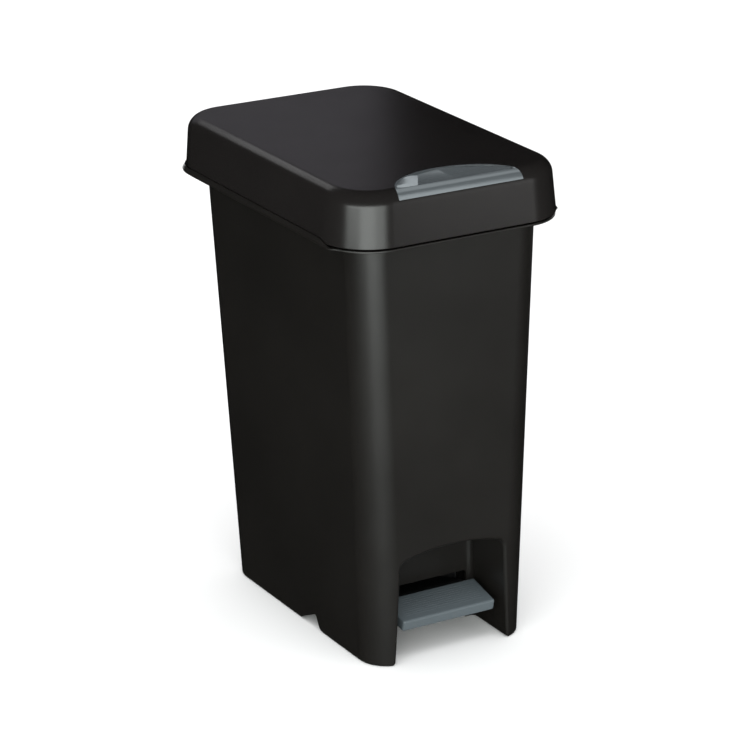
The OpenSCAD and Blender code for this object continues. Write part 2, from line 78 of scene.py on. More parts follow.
# Shell: half width, front and back are given at the floor and at the height TAPER_H
SHELL_H = corners("outer_shell")[1][2]
TAPER_H = 372.0
SHELL_HALF = (73.0, 86.1)
SHELL_FRONT = (-137.2, -133.7)
SHELL_BACK = (104.3, 131.7)
SHELL_R = 25.4
SHELL_FOOT_R, SHELL_TOP_R = 1.8, 0.6

# Rim: where along the edge its bead gives way to other profiles
RIM_Z = 353.8
RIM_TOP = RIM_Z + 2.0
RIM_BACK_Y, BEAD_END_X = 90, (88.0, 94.0)
BEAD_DRAWN_Y, BEAD_SUNK_Y = (-127.0, -119.0), (-121.0, -106.0)

# Toe recess: RECESS_SHOULDER is about the height of the centres of its round upper corners
RECESS_HALF, RECESS_LEAN = 52.4, 0.048
RECESS_CROWN, RECESS_ARCH_R = 94.1, 170.0
RECESS_CORNER_R, RECESS_SHOULDER = 7.0, 81.7
RECESS_BACK = -84.1
RECESS_WALL = 2.2
RECESS_FLARE, RECESS_FOOT_R = 2.8, 3.0
RECESS_SIDE_R, RECESS_TOP_R = 5.0, 3.0
RECESS_RUN, RECESS_H = 12, 96.0
LEVER_SLOT_HALF, LEVER_SLOT_H, LEVER_SLOT_R = 45.5, 42.5, 3

# Notch in the two bottom side edges, as (y, z) with the radius of each corner
NOTCH = [(-12, -2), (-15.3, 0.2), (-42.1, 13.5), (-48.3, 1.8), (-57, 0), (-60, -2)]
NOTCH_RADII = [0, 4, 2.2, 5, 3, 0]
NOTCH_REACH = 120

# Lid: its front, sides and corner radius draw in by these amounts up to its top
LID_LOW, LID_HIGH = corners("lid_shell")
LID_HALF, LID_BACK, TOTAL_H = LID_HIGH
LID_FRONT, LID_Z = LID_LOW[1:]
LID_R = 41.7
LID_EDGE, LID_HEM = 11.3, 0.6
LID_IN_FRONT, LID_IN_SIDE, LID_IN_R = 4.2, 4.3, 2.9
RELIEF_HALF, RELIEF_TOP, RELIEF_R, RELIEF_Y = 80, 366, 3, (141.0, 160.0)

# Grip: a half-round insert. Its straight side lies GRIP_AHEAD before the front of the lid's top
GRIP_HALF, GRIP_DEPTH, GRIP_AHEAD = 56, 40.5, 1.4
GRIP_BOTTOM, GRIP_GAP = 392.6, 0.3
PAST_FRONT, OVER_TOP = 12, 415

# Scoop: a steep facet on the left, a floor that rises to the back and a gentle facet on the right.
# Each row is one edge: its x at the front, half way back and at the back, and its height in front
SCOOP_ROWS = [
    (-70, -56, -34, 400.6), (-52, -37.8, -17.5, 400.1), (-32.5, -24, -16.2, 394.95),
    (-31.5, -23, -15.2, 394.9), (12, 5, -2, 394.9), (13, 6, -1, 394.95), (50, 50, 50, 399.7),
    (70, 70, 70, 400.4)]
SCOOP_FRONT, SCOOP_MIDDLE, SCOOP_BACK = -136.9, -118.0, -104.0
SCOOP_RISE, SCOOP_ABOVE = 400.1, 406
SCOOP_MARGIN = 1.6

# Hinge, lever axle and screws
HINGE_Y, HINGE_Z = 138.5, 362.5
EYE_R = 4.2
LUG_X, LUG_T = (41, 56), 3
LUG_BORE, LUG_BORE_X = 2.03, (40, 60)
EAR_X = (44.4, 55.6)
EAR_BORE, EAR_BORE_X = 2.06, (43, 57)
AXLE_Y, AXLE_Z = -40.0, 20.0
AXLE_SLOT_R, AXLE_SLOT_X, AXLE_SLOT_LOW = 3.02, (59, 71.8), 12
SADDLE_X, SADDLE_HALF, SADDLE_LOW, SADDLE_TOP = 60, 8, 13.8, 30
BOSS_R = 3.5
SCREW_R = 1.45
GUIDE_X, GUIDE_HEIGHTS, GUIDE_BOSS_H, GUIDE_HOLE = 11, (300, 110), 2.0, (3.3, 4.1)
ARM_X, ARM_Y, ARM_BOSS_Z, ARM_HOLE_Z = 10, 118.44, 392.6, 391

# Pedal tread, drawn round the middle of its top face and then leaned into place
TREAD_HALF, TREAD_REACH, TREAD_T, TREAD_R = 43.5, 16.9, 9.4, 2.2
TREAD_Y, TREAD_Z, TREAD_SLOPE = -116.1, 38.25, 12.4
GROOVES, GROOVE_START, GROOVE_STEP, GROOVE_HALF = 9, -10.0, 2.6, 37.5
TREAD_SCREW_X = 26

# Bucket: its body is given at the floor and at the rim, and it steps over the toe recess
BUCKET_WALL = 2.0
BUCKET_HALF, BUCKET_FRONT, BUCKET_BACK = (69.8, 81.2), (-126.6, -128.7), (88.0, 104.5)
BUCKET_R = 20
WELL_FRONT, WELL_IN = (-78.8, -78.8), 1.5
STEP_Z = 99.5
FLANGE_HALF, FLANGE_FRONT, FLANGE_BACK = 86.0, -133.6, 107.0
TAB_X, TAB_Y, TAB_R = 70, (-34, 10), 6


def shell_half(z):
    return mix(*SHELL_HALF, z / TAPER_H)


def shell_front(z):
    return mix(*SHELL_FRONT, z / TAPER_H)


def shell_back(z):
    return mix(*SHELL_BACK, z / TAPER_H)


def lid_lean(z):
    """0 at the lid's bottom edge and 1 at its top."""
    return (z - LID_Z) / (TOTAL_H - LID_Z)


# ---------------------------------------------------------------- mesh helpers


def solid(name, rings, wrap=False):
    """A closed mesh through rings of points, all with the same count."""
    bm = bmesh.new()
    rows = [[bm.verts.new((x * MM, y * MM, z * MM)) for x, y, z in ring] for ring in rings]
    count = len(rows[0])
    pairs = list(zip(rows, rows[1:])) + ([(rows[-1], rows[0])] if wrap else [])
    for low, high in pairs:
        for i in range(count):
            j = (i + 1) % count
            bm.faces.new((low[i], low[j], high[j], high[i]))
    if not wrap:
        bm.faces.new(rows[0][::-1])
        bm.faces.new(rows[-1])
    bmesh.ops.recalc_face_normals(bm, faces=bm.faces[:])
    mesh = bpy.data.meshes.new(name)
    bm.to_mesh(mesh)
    bm.free()
    obj = bpy.data.objects.new(name, mesh)
    bpy.context.scene.collection.objects.link(obj)
    return obj


def combine(target, pieces, operation):
    """Unites target with pieces, cuts them out of it or intersects it. The pieces are used up."""
    for piece in pieces:
        mod = target.modifiers.new("step", "BOOLEAN")
        mod.object, mod.operation, mod.solver = piece, operation, "MANIFOLD"
    graph = bpy.context.evaluated_depsgraph_get()
    mesh = bpy.data.meshes.new_from_object(target.evaluated_get(graph))
    target.modifiers.clear()
    target.data = mesh
    for piece in pieces:
        bpy.data.objects.remove(piece)
    return target


def unite(target, *pieces):
    return combine(target, pieces, "UNION")


def cut(target, *pieces):
    return combine(target, pieces, "DIFFERENCE")


def plan(half, front, back, r, seg=24, parts=1):
    """Outline of a rectangle with round corners, as x and y, counter-clockwise.

    seg is the count of steps round a corner and parts the count of pieces along a straight side.
    """
    points = []
    centres = [(half - r, front + r), (half - r, back - r),
               (r - half, back - r), (r - half, front + r)]
    for k, (cx, cy) in enumerate(centres):
        for i in range(seg + 1):
            a = math.radians(90 * (k - 1) + 90 * i / seg)
            points.append((cx + r * math.cos(a), cy + r * math.sin(a)))
        nx, ny = centres[(k + 1) % 4]
        a = math.radians(90 * k)
        x0, y0 = points[-1]
        x1, y1 = nx + r * math.cos(a), ny + r * math.sin(a)
        for i in range(1, parts):
            points.append((mix(x0, x1, i / parts), mix(y0, y1, i / parts)))
    return points


def level(points, z):
    return [(x, y, z) for x, y in points]


def rounding(r, steps, rising=True):
    """Pairs of (inset, height) round an edge of radius r, from the flat face to the upright one."""
    pairs = []
    for i in range(steps + 1):
        a = math.radians(90 * i / steps)
        pairs.append((r * (1 - math.sin(a)), r * (1 - math.cos(a))))
    return pairs if rising else [(inset, -h) for inset, h in reversed(pairs)]


def round_outline(points, radii, seg=6):
    """A flat outline with its corners rounded by the given radii."""
    out = []
    count = len(points)
    for i, (x, y) in enumerate(points):
        r = radii[i]
        here = Vector((x, y))
        a = (Vector(points[i - 1]) - here).normalized()
        b = (Vector(points[(i + 1) % count]) - here).normalized()
        half = math.acos(max(-1, min(1, a.dot(b)))) / 2
        if r <= 0 or half > math.radians(88):
            out.append((x, y))
            continue
        reach = r / math.tan(half)
        middle = here + (a + b).normalized() * (r / math.sin(half))
        start, end = here + a * reach - middle, here + b * reach - middle
        turn = start.angle_signed(end)
        for k in range(seg + 1):
            t = -turn * k / seg
            c, s = math.cos(t), math.sin(t)
            out.append((middle.x + start.x * c - start.y * s, middle.y + start.x * s + start.y * c))
    return out


def along_x(name, outline, x0, x1, edge=0.0):
    """An outline drawn as (y, z), extruded over a stretch of x, its ends softened by edge."""
    rings = []
    cy = sum(p[0] for p in outline) / len(outline)
    cz = sum(p[1] for p in outline) / len(outline)
    stops = [(x0, 0), (x1, 0)]
    if edge:
        part = edge * 0.3
        stops = [(x0, edge), (x0 + part, part), (x0 + edge, 0),
                 (x1 - edge, 0), (x1 - part, part), (x1, edge)]
    size = max(max(abs(p[0] - cy), abs(p[1] - cz)) for p in outline)
    for x, inset in stops:
        k = 1 - inset / size
        rings.append([(x, cy + (y - cy) * k, cz + (z - cz) * k) for y, z in outline])
    return solid(name, rings)


def arc(cy, cz, r, angles):
    """Points (y, z) on a circle at the given angles, in degrees."""
    return [(cy + r * math.cos(math.radians(a)), cz + r * math.sin(math.radians(a))) for a in angles]


def disc(cy, cz, r, seg=32):
    """A full circle as (y, z)."""
    return [(cy + r * math.cos(2 * math.pi * i / seg), cz + r * math.sin(2 * math.pi * i / seg))
            for i in range(seg)]


def turned(name, axis, start, profile, seg=48):
    """A turned solid from (radius, distance) pairs along axis 'Y' or 'Z' from a start point."""
    x, y, z = start
    rings = []
    for r, d in profile:
        ring = []
        for i in range(seg):
            a = 2 * math.pi * i / seg
            c, s = r * math.cos(a), r * math.sin(a)
            ring.append((x + c, y + d, z + s) if axis == "Y" else (x + c, y + s, z + d))
        rings.append(ring)
    return solid(name, rings)


def screw_hole(axis, start, depth):
    return turned("screw_hole", axis, start, [(SCREW_R, 0), (SCREW_R, depth)], 24)


def block(name, low, high, r=0.0, seg=3):
    """A box with rounded edges."""
    xs, ys, zs = zip(low, high)
    around = ((0, 0), (1, 0), (1, 1), (0, 1))
    obj = solid(name, [[(xs[i], ys[j], z) for i, j in around] for z in zs])
    if r:
        bm = bmesh.new()
        bm.from_mesh(obj.data)
        bmesh.ops.bevel(bm, geom=bm.edges[:], offset=r * MM, segments=seg, profile=0.5,
                        affect="EDGES")
        bm.to_mesh(obj.data)
        bm.free()
    return obj


# ---------------------------------------------------------------- materials


def plastic(name, colour, rough, grain=0.12, grain_scale=2400.0, mottle=0.12, specular=0.5,
            coat=0.0, wear=0.12):
    """Moulded plastic: fine grain in the bump, soft changes of tone, faint handling marks."""
    mat = bpy.data.materials.new(name)
    mat.use_nodes = True
    nodes, links = mat.node_tree.nodes, mat.node_tree.links
    shader = nodes["Principled BSDF"]
    shader.inputs["Specular IOR Level"].default_value = specular
    shader.inputs["Coat Weight"].default_value = coat
    shader.inputs["Coat Roughness"].default_value = 0.12
    place = nodes.new("ShaderNodeTexCoord")

    def noise(scale, detail, roughness=0.5):
        node = nodes.new("ShaderNodeTexNoise")
        node.inputs["Scale"].default_value = scale
        node.inputs["Detail"].default_value = detail
        node.inputs["Roughness"].default_value = roughness
        links.new(place.outputs["Object"], node.inputs["Vector"])
        return node.outputs["Fac"]

    def remap(source, low, high, from_low=0.3, from_high=0.7):
        node = nodes.new("ShaderNodeMapRange")
        for socket, value in (("From Min", from_low), ("From Max", from_high),
                              ("To Min", low), ("To Max", high)):
            node.inputs[socket].default_value = value
        links.new(source, node.inputs["Value"])
        return node.outputs["Result"]

    def blend(factor, a, b):
        node = nodes.new("ShaderNodeMix")
        node.data_type = "RGBA"
        for socket, value in (("A", a), ("B", b)):
            target = [i for i in node.inputs if i.name == socket and i.type == "RGBA"][0]
            if isinstance(value, tuple):
                target.default_value = (*value, 1)
            else:
                links.new(value, target)
        links.new(factor, node.inputs["Factor"])
        return [o for o in node.outputs if o.type == "RGBA"][0]

    broad = noise(9.0, 3.0)
    fine = noise(grain_scale, 2.0, 0.6)
    dark = tuple(c * (1 - mottle) for c in colour)
    light = tuple(c * (1 + mottle) for c in colour)
    tone = blend(remap(broad, 0, 1), dark, light)
    pits = remap(fine, 0, 1)
    deep = tuple(c * 0.8 for c in colour)
    tone = blend(remap(fine, 0.0, 0.35, 0.62, 0.8), tone, deep)

    scuffs = nodes.new("ShaderNodeTexNoise")
    scuffs.inputs["Scale"].default_value = 60.0
    scuffs.inputs["Detail"].default_value = 6.0
    stretch = nodes.new("ShaderNodeMapping")
    stretch.inputs["Scale"].default_value = (1.0, 6.0, 0.5)
    links.new(place.outputs["Object"], stretch.inputs["Vector"])
    links.new(stretch.outputs["Vector"], scuffs.inputs["Vector"])
    rubbed = remap(scuffs.outputs["Fac"], 0.0, wear, 0.6, 0.75)
    pale = tuple(min(1.0, c * 1.12 + 0.0006) for c in colour)
    tone = blend(rubbed, tone, pale)
    links.new(tone, shader.inputs["Base Color"])

    rough_map = nodes.new("ShaderNodeMath")
    rough_map.operation = "MULTIPLY_ADD"
    rough_map.inputs[1].default_value = -0.02
    links.new(rubbed, rough_map.inputs[0])
    links.new(remap(noise(35.0, 4.0), rough - 0.012, rough + 0.012), rough_map.inputs[2])
    links.new(rough_map.outputs["Value"], shader.inputs["Roughness"])

    bump = nodes.new("ShaderNodeBump")
    bump.inputs["Strength"].default_value = grain
    bump.inputs["Distance"].default_value = 0.0002
    links.new(pits, bump.inputs["Height"])
    links.new(bump.outputs["Normal"], shader.inputs["Normal"])
    return mat


def metal(name, colour, rough, axis):
    """Zinc-plated steel with fine drawn lines along the part."""
    mat = bpy.data.materials.new(name)
    mat.use_nodes = True
    nodes, links = mat.node_tree.nodes, mat.node_tree.links
    shader = nodes["Principled BSDF"]
    shader.inputs["Metallic"].default_value = 1.0
    place = nodes.new("ShaderNodeTexCoord")
    stretch = nodes.new("ShaderNodeMapping")
    stretch.inputs["Scale"].default_value = tuple(0.02 if i == axis else 1.0 for i in range(3))
    links.new(place.outputs["Object"], stretch.inputs["Vector"])
    lines = nodes.new("ShaderNodeTexNoise")
    lines.inputs["Scale"].default_value = 1800.0
    lines.inputs["Detail"].default_value = 4.0
    links.new(stretch.outputs["Vector"], lines.inputs["Vector"])
    ramp = nodes.new("ShaderNodeMapRange")
    for socket, value in (("To Min", rough - 0.08), ("To Max", rough + 0.12)):
        ramp.inputs[socket].default_value = value
    links.new(lines.outputs["Fac"], ramp.inputs["Value"])
    links.new(ramp.outputs["Result"], shader.inputs["Roughness"])
    cloud = nodes.new("ShaderNodeTexNoise")
    cloud.inputs["Scale"].default_value = 140.0
    links.new(place.outputs["Object"], cloud.inputs["Vector"])
    tint = nodes.new("ShaderNodeMix")
    tint.data_type = "RGBA"
    a, b = [i for i in tint.inputs if i.type == "RGBA"]
    a.default_value = (*colour, 1)
    b.default_value = (colour[0] * 0.78, colour[1] * 0.8, colour[2] * 0.82, 1)
    links.new(cloud.outputs["Fac"], tint.inputs["Factor"])
    links.new([o for o in tint.outputs if o.type == "RGBA"][0], shader.inputs["Base Color"])
    bump = nodes.new("ShaderNodeBump")
    bump.inputs["Strength"].default_value = 0.15
    bump.inputs["Distance"].default_value = 0.0001
    links.new(lines.outputs["Fac"], bump.inputs["Height"])
    links.new(bump.outputs["Normal"], shader.inputs["Normal"])
    return mat


BLACK = plastic("satin_black", (0.0096, 0.0086, 0.0076), 0.355, grain=0.10, specular=0.75)
LID_BLACK = plastic("satin_black_lid", (0.0098, 0.0088, 0.0084), 0.25, grain=0.04, specular=0.5)
SLATE = plastic("slate_tread", (0.083, 0.100, 0.110), 0.36, grain=0.10, mottle=0.05)
GRIP = plastic("slate_grip", (0.056, 0.063, 0.067), 0.19, grain=0.02, mottle=0.04, specular=0.6,
               coat=0.2, wear=0.1)
DARK = plastic("dark_grey", (0.014, 0.014, 0.015), 0.5, grain=0.15, grain_scale=1800.0)
LINER = plastic("charcoal_liner", (0.060, 0.062, 0.066), 0.5, grain=0.14, grain_scale=1900.0)
NYLON = plastic("dark_nylon", (0.055, 0.055, 0.058), 0.36, grain=0.06, mottle=0.08)
# One steel for each direction its drawn lines can run in
STEEL = {axis: metal("zinc_steel_" + "xyz"[axis], (0.60, 0.60, 0.61), 0.3, axis)
         for axis in range(3)}


def dress(obj, material, body, nodes=(), angle=32):
    """Finishes a piece: material, smooth shading with crisp edges, the body it rides on."""
    obj.data.materials.clear()
    obj.data.materials.append(material)
    obj.data.shade_smooth()
    obj.data.set_sharp_from_angle(angle=math.radians(angle))
    weight = obj.modifiers.new("even_faces", "WEIGHTED_NORMAL")
    weight.keep_sharp = True
    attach(obj, body)
    if nodes:
        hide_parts(*nodes)
    return obj


# ---------------------------------------------------------------- shell


def shell_rings(inset, stops, seg=24):
    """Rings of the tapered body. stops are (height, extra inset)."""
    return [level(plan(shell_half(z) - inset - e, shell_front(z) + inset + e,
                       shell_back(z) - inset - e, SHELL_R - inset - e, seg), z) for z, e in stops]


def recess_outline(grow, bottom, foot_round):
    """Front view of the toe recess as (x, z): round feet, leaning cheeks, round corners, a flat arch.

    grow is the distance outwards from the recess itself.
    """
    half, lean, corner, arch = RECESS_HALF, RECESS_LEAN, RECESS_CORNER_R, RECESS_ARCH_R
    centre_z = RECESS_CROWN - arch
    shoulder_x = half - lean * RECESS_SHOULDER - corner
    shoulder_z = centre_z + math.sqrt((arch - corner) ** 2 - shoulder_x ** 2)
    side = []
    r = foot_round
    side.append((half + grow + r, bottom))
    for i in range(7):
        a = math.radians(15 * i)
        side.append((half + grow + r * (1 - math.sin(a)), r * (1 - math.cos(a)) if r else 0.05 * i))
    for i in range(1, 6):
        z = mix(r, shoulder_z, i / 6)
        side.append((half - lean * z + grow, z))
    first = math.degrees(math.atan(lean))
    last = math.degrees(math.atan2(shoulder_z - centre_z, shoulder_x))
    for i in range(13):
        a = math.radians(mix(first, last, i / 12))
        side.append((shoulder_x + (corner + grow) * math.cos(a),
                     shoulder_z + (corner + grow) * math.sin(a)))
    steps = 24
    top = []
    for i in range(1, steps):
        a = math.radians(mix(last, 180 - last, i / steps))
        top.append(((arch + grow) * math.cos(a), centre_z + (arch + grow) * math.sin(a)))
    return side + top + [(-x, z) for x, z in reversed(side)]


def front_surface(x, z):
    """Y of the shell's front face at x and z, round its corners too."""
    half, front = shell_half(z), shell_front(z)
    past = max(0.0, abs(x) - (half - SHELL_R))
    return front + SHELL_R - math.sqrt(max(0.0, SHELL_R ** 2 - min(past, SHELL_R) ** 2))


def recess_rings(grow, flare, foot_round, bottom, start):
    """Rings through the recess from y = start backwards, flared in front and rounded at the back."""
    rings = []
    if flare:
        wide = recess_outline(grow + flare, bottom, foot_round)
        rings.append([(x, start, z) for x, z in wide])
        for i in range(1, 13):
            a = math.radians(90 - 7.5 * i + 2)
            offset, depth = flare * (1 - math.cos(a)), flare * (1 - math.sin(a)) - 0.02
            ring = recess_outline(grow + offset, bottom, foot_round)
            rings.append([(x, front_surface(x, z) + depth, z) for x, z in ring])
    else:
        ring = recess_outline(grow, bottom, foot_round)
        rings.append([(x, start, z) for x, z in ring])
    back = RECESS_BACK + grow
    r_side, r_top = RECESS_SIDE_R + grow, RECESS_TOP_R + grow
    base = recess_outline(grow, bottom, foot_round)
    rings.append([(x, back - r_side - RECESS_RUN, z) for x, z in base])
    for i in range(13):
        t = math.sin(math.radians(7.5 * i))
        y = back - r_side + r_side * t
        inset_x = r_side * (1 - math.sqrt(max(0.0, 1 - t * t)))
        into = max(0.0, (y - (back - r_top)) / r_top)
        inset_z = r_top * (1 - math.sqrt(max(0.0, 1 - into * into)))
        kx = 1 - inset_x / (RECESS_HALF + grow)
        rings.append([(x * kx, y, z * (1 - inset_z / RECESS_H) if z > 0 else z) for x, z in base])
    return rings


def rim_solid():
    """Rim round the shell: a flange, and a sloped bead that stands round the lid at the sides."""
    outline = plan(LID_HALF, LID_FRONT, LID_BACK, LID_R, seg=56, parts=10)
    z = (RIM_Z + RIM_TOP) / 2
    inner = plan(shell_half(z) - WALL / 2, shell_front(z) + WALL / 2, shell_back(z) - WALL / 2,
                 SHELL_R - WALL / 2, seg=56, parts=10)
    # Each profile runs round the edge from below, as (distance outwards, height above the underside)
    bead = [(-1.0, 0), (-0.5, 0.25), (2.0, 2.3), (2.75, 2.5), (3.0, 3.0), (2.85, 3.5), (1.4, 5.8),
            (0.8, 6.7), (0.5, 6.4), (0.5, 2.0)]
    flat = [(1.6, 0), (2.5, 0.15), (2.9, 0.5), (3.0, 0.9), (3.0, 1.1), (2.9, 1.5), (2.6, 1.85),
            (2.2, 2.0), (1.2, 2.0), (0.5, 2.0)]
    front = [(-1.3, 0), (-0.85, 0.15), (-0.6, 0.5), (-0.6, 0.9), (-0.6, 1.2), (-0.65, 1.5),
             (-0.8, 1.8), (-1.1, 2.0), (-1.8, 2.0), (-2.6, 2.0)]
    rings = []
    count = len(outline)
    for i, (x, y) in enumerate(outline):
        ax, ay = outline[i - 1]
        bx, by = outline[(i + 1) % count]
        length = math.hypot(bx - ax, by - ay)
        nx, ny = (by - ay) / length, (ax - bx) / length
        w_flat = (1 - ease(abs(x), *BEAD_END_X)) if y > RIM_BACK_Y else 0.0
        # The bead sinks to the flange's height before its edge draws in under the lid
        drawn, sunk = 1 - ease(y, *BEAD_DRAWN_Y), 1 - ease(y, *BEAD_SUNK_Y)
        ring = []
        for b, f, g in zip(bead, flat, front):
            out, up = (b[k] * (1 - w - w_flat) + f[k] * w_flat + g[k] * w
                       for k, w in ((0, drawn), (1, sunk)))
            ring.append((x + nx * out, y + ny * out, RIM_Z + up))
        ring += [(*inner[i], RIM_TOP), (*inner[i], RIM_Z)]
        rings.append(ring)
    return solid("rim", rings, wrap=True)


def make_shell():
    stops = [(h, e) for e, h in rounding(SHELL_FOOT_R, 6)]
    stops += [(z, 0) for z in (20, 45, 70, 95, 125, 160, 200, 240, 280, 320, 345)]
    stops += [(SHELL_H + h, e) for e, h in rounding(SHELL_TOP_R, 3, rising=False)]
    shell = solid("bin_shell", shell_rings(0, stops))
    shell = unite(shell, rim_solid())
    inside = [(-1.0, -0.8), (0.0, -0.8), (0.25, -0.35), (0.8, 0)]
    inside += [(z, 0) for z in (20, 60, 120, 200, 280, 345)]
    inside += [(SHELL_H - 0.4, 0), (SHELL_H + 1, -0.3)]
    shell = cut(shell, solid("inside", shell_rings(WALL, inside)))

    box = recess_rings(RECESS_WALL, flare=0, foot_round=0, bottom=0.0, start=-135.8)
    parts = [solid("recess_box", box)]
    foot = RIM_TOP - 0.5
    lug = arc(HINGE_Y, HINGE_Z, EYE_R, range(0, 181, 10))
    lug += [(HINGE_Y - EYE_R, foot), (HINGE_Y + EYE_R, foot)]
    boss = [(BOSS_R - 0.3, 0), (BOSS_R, 0.3), (BOSS_R, GUIDE_BOSS_H + WALL / 2)]
    for side in (-1, 1):
        x0, x1 = span(side, SADDLE_X, shell_half(SADDLE_LOW) - WALL / 2)
        parts.append(block("saddle", (x0, AXLE_Y - SADDLE_HALF, SADDLE_LOW),
                           (x1, AXLE_Y + SADDLE_HALF, SADDLE_TOP), 0.6))
        for x in LUG_X:
            parts.append(along_x("lug", lug, *span(side, x, x + LUG_T), 0.35))
        for z in GUIDE_HEIGHTS:
            start = (side * GUIDE_X, shell_back(z) - WALL - GUIDE_BOSS_H, z)
            parts.append(turned("boss", "Y", start, boss))
    shell = unite(shell, *parts)

    recess = recess_rings(0, flare=RECESS_FLARE, foot_round=RECESS_FOOT_R, bottom=-6.0, start=-150.0)
    slot = round_outline([(-LEVER_SLOT_HALF, -2), (LEVER_SLOT_HALF, -2),
                          (LEVER_SLOT_HALF, LEVER_SLOT_H), (-LEVER_SLOT_HALF, LEVER_SLOT_H)],
                         [0, 0, LEVER_SLOT_R, LEVER_SLOT_R])
    slot_y = (RECESS_BACK - 1.5, RECESS_BACK + 4)
    cutters = [solid("recess", recess),
               solid("slot", [[(x, y, z) for x, z in slot] for y in slot_y]),
               along_x("notch", round_outline(NOTCH, NOTCH_RADII), -NOTCH_REACH, NOTCH_REACH)]
    near, far = AXLE_Y + AXLE_SLOT_R, AXLE_Y - AXLE_SLOT_R
    axle_slot = [(near, AXLE_SLOT_LOW), (near, AXLE_Z)]
    axle_slot += arc(AXLE_Y, AXLE_Z, AXLE_SLOT_R, range(10, 180, 10))
    axle_slot += [(far, AXLE_Z), (far, AXLE_SLOT_LOW)]
    bore = disc(HINGE_Y, HINGE_Z, LUG_BORE)
    hole_start, hole_depth = GUIDE_HOLE
    for side in (-1, 1):
        cutters.append(along_x("saddle_slot", axle_slot, *span(side, *AXLE_SLOT_X)))
        cutters.append(along_x("pin_bore", bore, *span(side, *LUG_BORE_X)))
        for z in GUIDE_HEIGHTS:
            start = (side * GUIDE_X, shell_back(z) - WALL - hole_start, z)
            cutters.append(screw_hole("Y", start, hole_depth))
    shell = cut(shell, *cutters)
    return dress(shell, BLACK, "housing", ["outer_shell"])


# ---------------------------------------------------------------- lid


def lid_rings(inset, low, edge=0.0, steps=14, seg=32):
    """Rings of the lid from the height low to its top, with its bottom edge rounded by edge."""
    def ring(z, pull):
        return level(plan(LID_HALF - LID_IN_SIDE * lid_lean(z) - pull,
                          LID_FRONT + LID_IN_FRONT * lid_lean(z) + pull, LID_BACK - pull,
                          LID_R - LID_IN_R * lid_lean(z) - pull, seg, 4), z)

    rings = [ring(low + h, inset + e) for e, h in rounding(edge, 3)] if edge else [ring(low, inset)]
    start = TOTAL_H - LID_EDGE
    rings += [ring(mix(low, start, k), inset) for k in (0.35, 0.7)]
    r = LID_EDGE - inset
    for i in range(steps + 1):
        a = math.radians(90 * i / steps)
        rings.append(ring(start + r * math.sin(a), inset + r * (1 - math.cos(a))))
    return rings


def grip_outline(grow, seg=64):
    """Plan of the half-round insert at the lid's front edge, carried on past the front."""
    front = LID_FRONT + LID_IN_FRONT - GRIP_AHEAD
    points = []
    for i in range(seg + 1):
        a = math.pi * i / seg
        points.append(((GRIP_HALF + grow) * math.cos(a), front + (GRIP_DEPTH + grow) * math.sin(a)))
    end = LID_FRONT - PAST_FRONT
    return points + [(-GRIP_HALF - grow, end), (GRIP_HALF + grow, end)]


def make_lid():
    lid = solid("lid_cover", lid_rings(0, LID_Z, LID_HEM))
    lid = cut(lid, solid("hollow", lid_rings(WALL, LID_Z - 1)))
    # The relief at the hinge: the middle of the back skirt is cut away below RELIEF_TOP
    relief = round_outline([(-RELIEF_HALF, 300), (RELIEF_HALF, 300),
                            (RELIEF_HALF, RELIEF_TOP), (-RELIEF_HALF, RELIEF_TOP)],
                           [0, 0, RELIEF_R, RELIEF_R])
    lid = cut(lid, solid("relief", [[(x, y, z) for x, z in relief] for y in RELIEF_Y]))

    # The last four points lie inside the wall of the lid's rounded back edge
    ear = arc(HINGE_Y, HINGE_Z, EYE_R, range(0, -181, -10))
    ear += [(134.3, 398.7), (138.0, 397.9), (140.5, 396.4), (142.7, 394.2)]
    boss = [(BOSS_R - 0.2, 0), (BOSS_R, 0.2), (BOSS_R, 6.2)]
    parts = []
    for side in (-1, 1):
        parts.append(along_x("ear", ear, *span(side, *EAR_X), 0.3))
        parts.append(turned("arm_boss", "Z", (side * ARM_X, ARM_Y, ARM_BOSS_Z), boss))
    lid = unite(lid, *parts)

    pocket = (GRIP_BOTTOM - GRIP_GAP, OVER_TOP)
    cutters = [solid("pocket", [level(grip_outline(GRIP_GAP), z) for z in pocket])]
    bore = disc(HINGE_Y, HINGE_Z, EAR_BORE)
    for side in (-1, 1):
        cutters.append(along_x("ear_bore", bore, *span(side, *EAR_BORE_X)))
        cutters.append(screw_hole("Z", (side * ARM_X, ARM_Y, ARM_HOLE_Z), 6.6))
    lid = cut(lid, *cutters)
    return dress(lid, LID_BLACK, "lid", ["lid_shell"])


def make_grip():
    grip = solid("lid_grip", lid_rings(0, LID_Z, LID_HEM, steps=20, seg=12))
    prism = solid("prism", [level(grip_outline(0), z) for z in (GRIP_BOTTOM, OVER_TOP)])
    grip = combine(grip, [prism], "INTERSECT")
    under = solid("under", [level(grip_outline(-WALL), z) for z in (391.0, 393.4)])
    cut(under, block("keep", (-90, -170, 380), (90, LID_FRONT + 7.2, 399)))
    front, back = SCOOP_FRONT, SCOOP_BACK
    rings = []
    for x, x_mid, x_back, d in SCOOP_ROWS:
        rings.append([(x, front - 1.2, 400.35), (x, front, 399.75),
                      (x, front + 1.2, min(399.2, d + 2.2)), (x, front + 3.2, min(399.0, d + 0.4)),
                      (x, front + 4.6, d), (x_mid, SCOOP_MIDDLE, mix(d, SCOOP_RISE, 0.3)),
                      (x_back, back, SCOOP_RISE), (x_back, back, SCOOP_ABOVE),
                      (x, front - 1.2, SCOOP_ABOVE)])
    scoop = solid("scoop", rings)
    inner = solid("scoop_limit", [level(grip_outline(-SCOOP_MARGIN), z) for z in (390, 410)])
    scoop = combine(scoop, [inner], "INTERSECT")
    grip = cut(grip, under, scoop)
    return dress(grip, GRIP, "lid", ["lid_handle"], angle=24)


# ---------------------------------------------------------------- pedal tread


